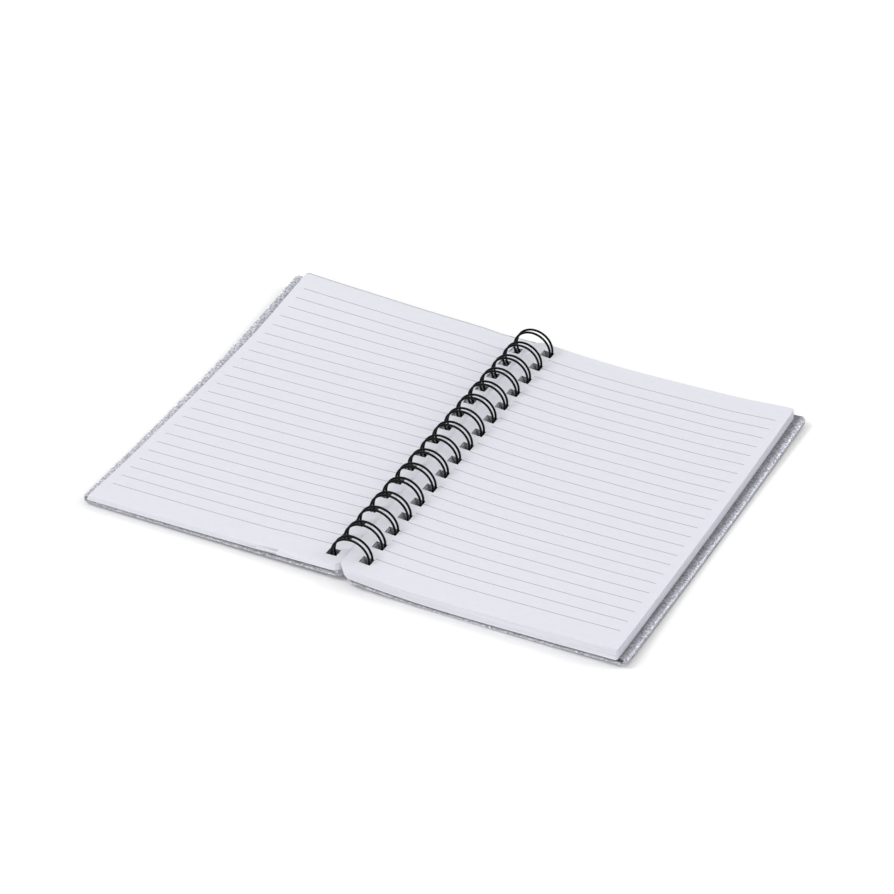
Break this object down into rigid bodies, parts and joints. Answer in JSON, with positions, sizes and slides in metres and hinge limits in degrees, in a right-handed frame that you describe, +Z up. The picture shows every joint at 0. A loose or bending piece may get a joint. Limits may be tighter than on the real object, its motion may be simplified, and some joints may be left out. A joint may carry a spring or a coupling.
{
  "type": "spiral notebook",
  "caption": "Open wire-bound notebook: two grey felt covers and ruled leaves turning on a black twin-loop wire.",
  "frame": {"origin": "on the table, under the middle of the open spread and of the binding", "axes": "+X across the spread towards the back cover, +Y along the binding towards the leaves' top edge, +Z up"},
  "size_m": [0.274, 0.2126, 0.02],
  "materials": {
    "felt": "matte",
    "paper": "matte",
    "wire": "satin"
  },
  "bodies": {
    "back_half": {"back_cover": "felt", "leaf_block": "paper"},
    "front_half": {"front_cover": "felt", "turned_leaves": "paper"},
    "binding": {"wire_binding": "wire"}
  },
  "joints": [
    {"name": "front_cover_turn", "type": "hinge", "parent": "back_half", "child": "front_half", "pos_m": [0, 0, 0.01003], "axis": [0, 1, 0], "range_deg": [0, 180]},
    {"name": "wire_turn", "type": "hinge", "parent": "back_half", "child": "binding", "pos_m": [0, 0, 0.01003], "axis": [0, 1, 0], "range_deg": [-15, 30]}
  ]
}
